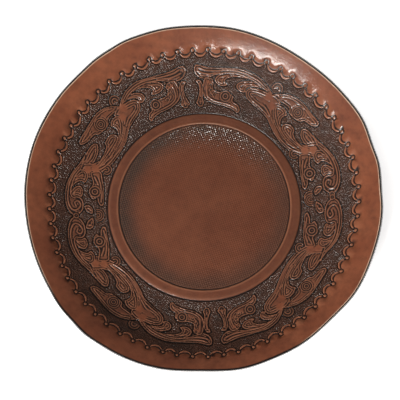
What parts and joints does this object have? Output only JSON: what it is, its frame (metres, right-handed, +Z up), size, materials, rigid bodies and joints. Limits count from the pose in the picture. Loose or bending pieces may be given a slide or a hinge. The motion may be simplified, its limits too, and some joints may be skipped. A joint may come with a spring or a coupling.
{
  "type": "tooled leather tray",
  "caption": "Round shallow dish of tooled leather with a raised plain rim, a carved scroll band and a stippled flat floor, for holding small things on a table.",
  "frame": {"origin": "centre of the flat base, on the plane of the table", "axes": "+Z up along the axis of the dish, -Y towards the near side"},
  "size_m": [0.3555, 0.3536, 0.0441],
  "materials": {
    "face_leather": "antiqued and lacquered, satin",
    "leatherboard": "matt",
    "lining_leather": "napped, matt"
  },
  "bodies": {
    "root": {"tooled_face": "face_leather", "floor_board": "leatherboard", "back_lining": "lining_leather"}
  },
  "joints": []
}
